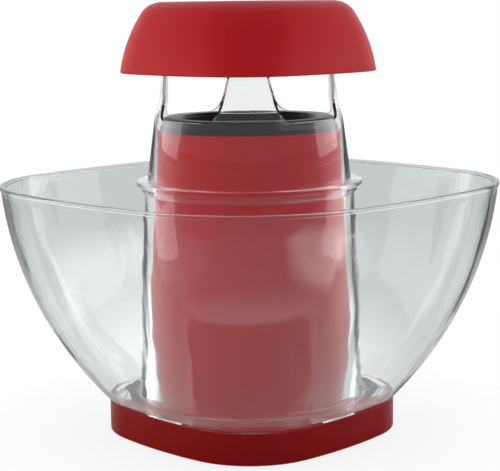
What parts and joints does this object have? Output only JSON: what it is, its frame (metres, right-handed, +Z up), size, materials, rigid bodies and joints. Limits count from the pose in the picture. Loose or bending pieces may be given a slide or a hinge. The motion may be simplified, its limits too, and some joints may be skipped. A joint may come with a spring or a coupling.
{
  "type": "popcorn maker",
  "caption": "Hot-air popcorn maker: low base and tower with a popping chamber, clear rounded-square bowl round the tower, clear windowed chimney and a lift-off cap.",
  "frame": {"origin": "on the floor under the tower's axis", "axes": "+Z up; the corners of the rounded-square plan lie on X and Y, the front corner on -Y"},
  "size_m": [0.343, 0.343, 0.2975],
  "materials": {
    "red_gloss": "gloss red moulding",
    "red_satin": "satin red moulding",
    "black_plastic": "satin black moulding",
    "clear_plastic": "clear, polished",
    "chamber_aluminium": "drawn, bright",
    "duct_steel": "plain galvanised",
    "gasket_rubber": "heatproof silicone",
    "mica": "pale mica sheet",
    "coil_wire": "resistance wire",
    "ceramic_white": "plain ceramic",
    "motor_steel": "zinc-plated can",
    "board_green": "circuit board",
    "fan_plastic": "natural moulding",
    "foot_rubber": "matt black",
    "screw_steel": "zinc plated"
  },
  "bodies": {
    "base": {"base_housing": "red_gloss", "tower_housing": "red_satin", "collar": "black_plastic", "bottom_cover": "black_plastic", "fan_housing": "black_plastic", "motor_end_cap": "black_plastic", "cord_gland": "black_plastic", "switch_frame": "black_plastic", "rectifier_diodes": "black_plastic", "popping_chamber": "chamber_aluminium", "heater_duct": "duct_steel", "duct_gasket": "gasket_rubber", "mica_board_wide": "mica", "mica_board_cross": "mica", "heating_coil": "coil_wire", "thermostat": "ceramic_white", "thermal_fuse": "ceramic_white", "motor_can": "motor_steel", "rectifier_board": "board_green", "rubber_feet": "foot_rubber", "cover_screws": "screw_steel", "tower_screws": "screw_steel", "collar_screws": "screw_steel", "duct_screws": "screw_steel", "motor_screws": "screw_steel"},
    "fan": {"motor_shaft": "motor_steel", "fan_impeller": "fan_plastic", "fan_clip": "screw_steel"},
    "rocker": {"switch_rocker": "black_plastic"},
    "bowl": {"bowl": "clear_plastic"},
    "chimney": {"chimney": "clear_plastic"},
    "cap": {"cap_shell": "red_satin", "deflector": "black_plastic", "cap_screws": "screw_steel"}
  },
  "joints": [
    {"name": "bowl_lift", "type": "slide", "parent": "base", "child": "bowl", "axis": [0, 0, 1], "range_m": [0, 0.22]},
    {"name": "chimney_lift", "type": "slide", "parent": "bowl", "child": "chimney", "axis": [0, 0, 1], "range_m": [0, 0.08]},
    {"name": "cap_lift", "type": "slide", "parent": "chimney", "child": "cap", "axis": [0, 0, 1], "range_m": [0, 0.05]},
    {"name": "fan_spin", "type": "hinge", "parent": "base", "child": "fan", "pos_m": [0, 0, 0.055], "axis": [0, 0, 1], "continuous": true},
    {"name": "switch_rock", "type": "hinge", "parent": "base", "child": "rocker", "pos_m": [0.06173, 0.06173, 0.0116], "axis": [0, 0, 1], "range_deg": [0, 14]}
  ]
}
